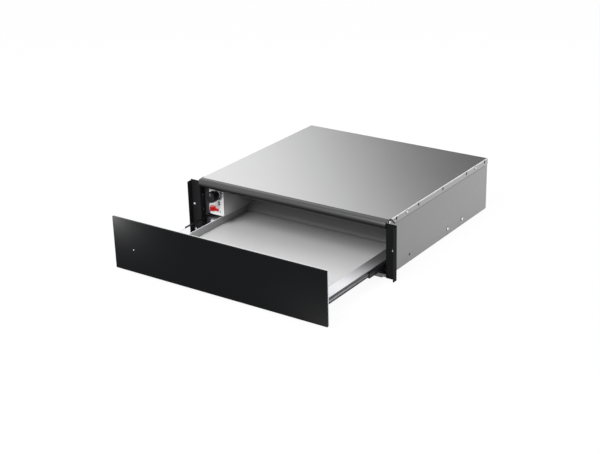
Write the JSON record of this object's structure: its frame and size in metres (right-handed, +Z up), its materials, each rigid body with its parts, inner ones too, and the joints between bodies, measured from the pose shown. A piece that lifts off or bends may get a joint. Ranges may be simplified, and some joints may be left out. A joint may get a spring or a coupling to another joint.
{
  "type": "built in warming drawer",
  "caption": "Warming drawer for a kitchen niche: steel casing with mounting brackets, a black glass front on ball runners, heated tray, knob and rocker switch.",
  "frame": {"origin": "middle of the front mounting plane, on the underside of the base", "axes": "+X to the right seen from the front, +Y back into the cabinet, +Z up"},
  "size_m": [0.594, 0.7946, 0.14],
  "materials": {
    "glass_black": "gloss black back-painted glass",
    "edge_pale": "pale satin paint",
    "steel_brushed": "brushed",
    "steel_polished": "polished",
    "steel_galvanised": "satin galvanised",
    "steel_dark": "dark satin liner",
    "zinc": "zinc plated",
    "black_satin": "satin black paint",
    "black_zinc": "black plated",
    "plate_white": "satin",
    "knob_black": "satin",
    "plastic_dark": "matt",
    "plastic_white": "matt",
    "rocker_red": "gloss, translucent",
    "mat_grey": "matt dotted",
    "insulation": "mineral fibre",
    "copper": "copper",
    "lens": "clear",
    "ceramic_white": "glazed",
    "ball_steel": "hardened steel",
    "cage_plastic": "nylon"
  },
  "bodies": {
    "casing": {"base_pan": "steel_galvanised", "bracket_screws": "black_zinc", "cable_gland": "plastic_dark", "control_housing": "steel_dark", "control_plate": "plate_white", "cover_screws": "zinc", "fan_housing": "steel_galvanised", "front_bracket_left": "black_satin", "front_bracket_right": "black_satin", "front_trim": "black_satin", "heater_element": "steel_dark", "insulation_mat": "insulation", "latch_body": "plastic_dark", "liner_right": "steel_dark", "liner_roof": "steel_dark", "motor_coil": "copper", "motor_frame": "steel_galvanised", "rear_baffle": "steel_dark", "rear_panel": "steel_galvanised", "runner_outer_left": "zinc", "runner_outer_right": "zinc", "safety_thermostat": "ceramic_white", "side_panel_left": "steel_galvanised", "side_panel_right": "steel_galvanised", "side_rivets": "zinc", "switch_body": "plastic_white", "terminal_block": "ceramic_white", "terminal_cover": "steel_galvanised", "thermostat_body": "zinc", "thermostat_capillary": "copper", "thermostat_nut": "zinc", "top_cover": "steel_brushed", "wiring_loom": "plastic_dark"},
    "drawer": {"front_glass": "glass_black", "front_backing": "edge_pale", "inner_front": "steel_brushed", "indicator_lamp": "lens", "tray": "steel_brushed", "drawer_side_left": "steel_polished", "drawer_side_right": "steel_polished", "anti_slip_mat": "mat_grey", "runner_inner_left": "zinc", "runner_inner_right": "zinc", "drawer_screws": "zinc"},
    "knob": {"thermostat_knob": "knob_black", "thermostat_shaft": "zinc"},
    "rocker": {"switch_rocker": "rocker_red"},
    "fan": {"fan_impeller": "steel_galvanised", "fan_shaft": "zinc"},
    "plunger": {"latch_plunger": "plastic_white"},
    "middle_left": {"runner_middle_left": "black_zinc"},
    "inner_cage_left": {"runner_cage_inner_left": "cage_plastic", "runner_balls_inner_left": "ball_steel"},
    "outer_cage_left": {"runner_cage_outer_left": "cage_plastic", "runner_balls_outer_left": "ball_steel"},
    "middle_right": {"runner_middle_right": "black_zinc"},
    "inner_cage_right": {"runner_cage_inner_right": "cage_plastic", "runner_balls_inner_right": "ball_steel"},
    "outer_cage_right": {"runner_cage_outer_right": "cage_plastic", "runner_balls_outer_right": "ball_steel"}
  },
  "joints": [
    {"name": "drawer_slide", "type": "slide", "parent": "casing", "child": "drawer", "axis": [0, -1, 0], "range_m": [-0.2596, 0.1404]},
    {"name": "middle_slide_left", "type": "slide", "parent": "casing", "child": "middle_left", "axis": [0, -1, 0], "range_m": [-0.1298, 0.0702]},
    {"name": "inner_cage_slide_left", "type": "slide", "parent": "casing", "child": "inner_cage_left", "axis": [0, -1, 0], "range_m": [-0.1947, 0.1053]},
    {"name": "outer_cage_slide_left", "type": "slide", "parent": "casing", "child": "outer_cage_left", "axis": [0, -1, 0], "range_m": [-0.0649, 0.0351]},
    {"name": "middle_slide_right", "type": "slide", "parent": "casing", "child": "middle_right", "axis": [0, -1, 0], "range_m": [-0.1298, 0.0702]},
    {"name": "inner_cage_slide_right", "type": "slide", "parent": "casing", "child": "inner_cage_right", "axis": [0, -1, 0], "range_m": [-0.1947, 0.1053]},
    {"name": "outer_cage_slide_right", "type": "slide", "parent": "casing", "child": "outer_cage_right", "axis": [0, -1, 0], "range_m": [-0.0649, 0.0351]},
    {"name": "knob_turn", "type": "hinge", "parent": "casing", "child": "knob", "pos_m": [-0.23, 0, 0.101], "axis": [0, 1, 0], "range_deg": [0, 270]},
    {"name": "rocker_tilt", "type": "hinge", "parent": "casing", "child": "rocker", "pos_m": [-0.24, 0.0215, 0.0625], "axis": [0, 0, -1], "range_deg": [0, 28]},
    {"name": "fan_spin", "type": "hinge", "parent": "casing", "child": "fan", "pos_m": [0, 0.45, 0.08], "axis": [0, 1, 0], "continuous": true},
    {"name": "plunger_press", "type": "slide", "parent": "casing", "child": "plunger", "axis": [0, 1, 0], "range_m": [0, 0.004], "stiffness_N_per_m": 400}
  ],
  "couplings": [
    {"joint": "middle_slide_left", "follows": "drawer_slide", "ratio": 0.5},
    {"joint": "inner_cage_slide_left", "follows": "drawer_slide", "ratio": 0.75},
    {"joint": "outer_cage_slide_left", "follows": "drawer_slide", "ratio": 0.25},
    {"joint": "middle_slide_right", "follows": "drawer_slide", "ratio": 0.5},
    {"joint": "inner_cage_slide_right", "follows": "drawer_slide", "ratio": 0.75},
    {"joint": "outer_cage_slide_right", "follows": "drawer_slide", "ratio": 0.25}
  ]
}
